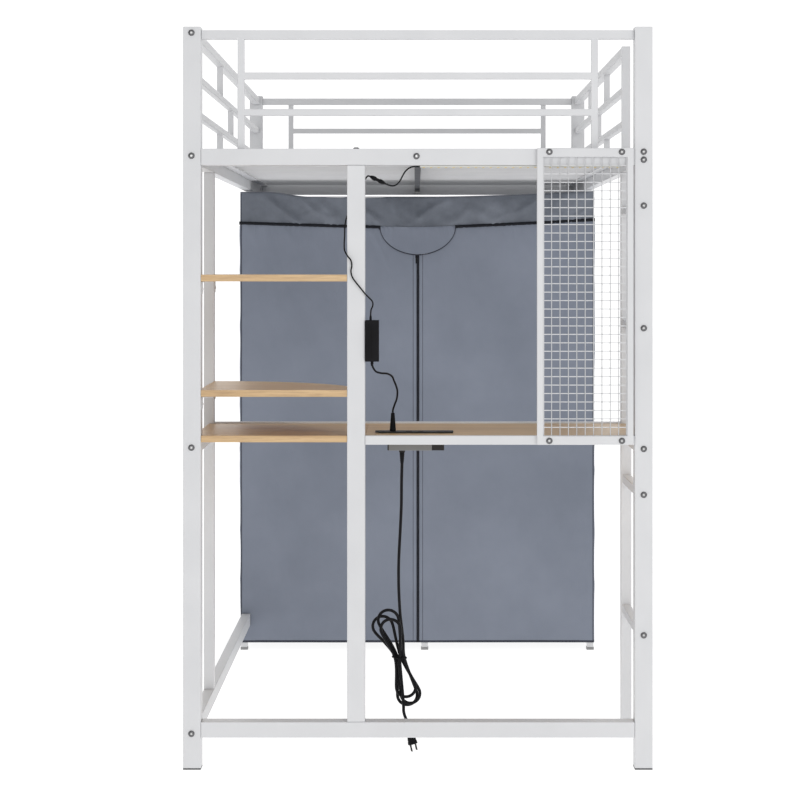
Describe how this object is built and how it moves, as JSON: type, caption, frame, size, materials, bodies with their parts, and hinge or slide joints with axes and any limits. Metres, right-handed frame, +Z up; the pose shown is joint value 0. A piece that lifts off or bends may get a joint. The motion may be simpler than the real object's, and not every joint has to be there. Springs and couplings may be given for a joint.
{
  "type": "loft bed with desk",
  "caption": "Steel loft bed with a corner desk, curved shelves, ladder, wire mesh panel, fabric wardrobe, desk power outlet and light strip.",
  "frame": {"origin": "middle of the footprint at floor level, measured without the cords", "axes": "+X across the bed to the ladder side, +Y along the bed from the desk end to the wardrobe end, +Z up"},
  "size_m": [1.054, 2.0002, 1.668],
  "materials": {
    "frame_paint": "smooth white powder coat with a fine satin texture",
    "beam_paint": "dark grey satin paint",
    "foot_plastic": "moulded dark plastic foot",
    "board_wood": "light oak laminate board with a fine long grain and matching edge band",
    "cover_fabric": "blue-grey plain weave polyester cloth",
    "black_plastic": "black moulded plastic",
    "rod_chrome": "plated steel tube",
    "outlet_plastic": "dark grey moulded plastic with black ends",
    "cord_rubber": "black flexible cord jacket",
    "strip_silicone": "coated light strip with small yellow light chips"
  },
  "bodies": {
    "bed": {"post_near_left": "frame_paint", "post_near_right": "frame_paint", "post_far_left": "frame_paint", "post_far_right": "frame_paint", "platform_rail_near": "frame_paint", "platform_rail_far": "frame_paint", "platform_rail_left": "frame_paint", "platform_rail_right": "frame_paint", "bottom_rail_near": "frame_paint", "bottom_rail_far": "frame_paint", "bottom_rail_left": "frame_paint", "guard_near": "frame_paint", "guard_far": "frame_paint", "guard_left": "frame_paint", "guard_right": "frame_paint", "middle_post": "frame_paint", "slat_panel_near": "frame_paint", "slat_panel_far": "frame_paint", "ladder": "frame_paint", "left_upright": "frame_paint", "desk_rail_left": "frame_paint", "desk_rail_right": "frame_paint", "desk_rail_near": "frame_paint", "desk_rail_rear": "frame_paint", "mesh_panel": "frame_paint", "mesh_cross_wires": "frame_paint", "wardrobe_frame_front": "frame_paint", "wardrobe_frame_rear": "frame_paint", "wardrobe_top_rail_left": "frame_paint", "wardrobe_top_rail_right": "frame_paint", "centre_beam": "beam_paint", "foot_near_left": "foot_plastic", "foot_near_right": "foot_plastic", "foot_far_left": "foot_plastic", "foot_far_right": "foot_plastic", "desk_board_left": "board_wood", "desk_board_right": "board_wood", "shelf_upper": "board_wood", "shelf_lower": "board_wood", "cover_left": "cover_fabric", "cover_right": "cover_fabric", "cover_back": "cover_fabric", "cover_top": "cover_fabric", "hanging_rod": "rod_chrome", "outlet": "outlet_plastic", "mains_plug": "black_plastic", "adapter_plug": "black_plastic", "adapter": "black_plastic", "thin_connector": "black_plastic", "mains_cord": "cord_rubber", "mains_tail": "cord_rubber", "mains_hank": "cord_rubber", "adapter_cord": "cord_rubber", "thin_cord_lower": "cord_rubber", "thin_cord_upper": "cord_rubber", "led_strip": "strip_silicone"},
    "left_door": {"door_left": "cover_fabric"},
    "right_door": {"door_right": "cover_fabric"},
    "flap": {"zip_flap": "cover_fabric"},
    "slider": {"zip_slider": "black_plastic"}
  },
  "joints": [
    {"name": "left_door_fold", "type": "hinge", "parent": "bed", "child": "left_door", "pos_m": [-0.4779, 0.53215, 0.6], "axis": [0, 0, -1], "range_deg": [0, 90]},
    {"name": "right_door_fold", "type": "hinge", "parent": "bed", "child": "right_door", "pos_m": [0.4779, 0.53215, 0.6], "axis": [0, 0, 1], "range_deg": [0, 90]},
    {"name": "flap_lift", "type": "hinge", "parent": "bed", "child": "flap", "pos_m": [0.002, 0.53215, 1.25], "axis": [-1, 0, 0], "range_deg": [0, 110]},
    {"name": "zip_run", "type": "slide", "parent": "left_door", "child": "slider", "axis": [0, 0, -1], "range_m": [0, 1.1]}
  ]
}
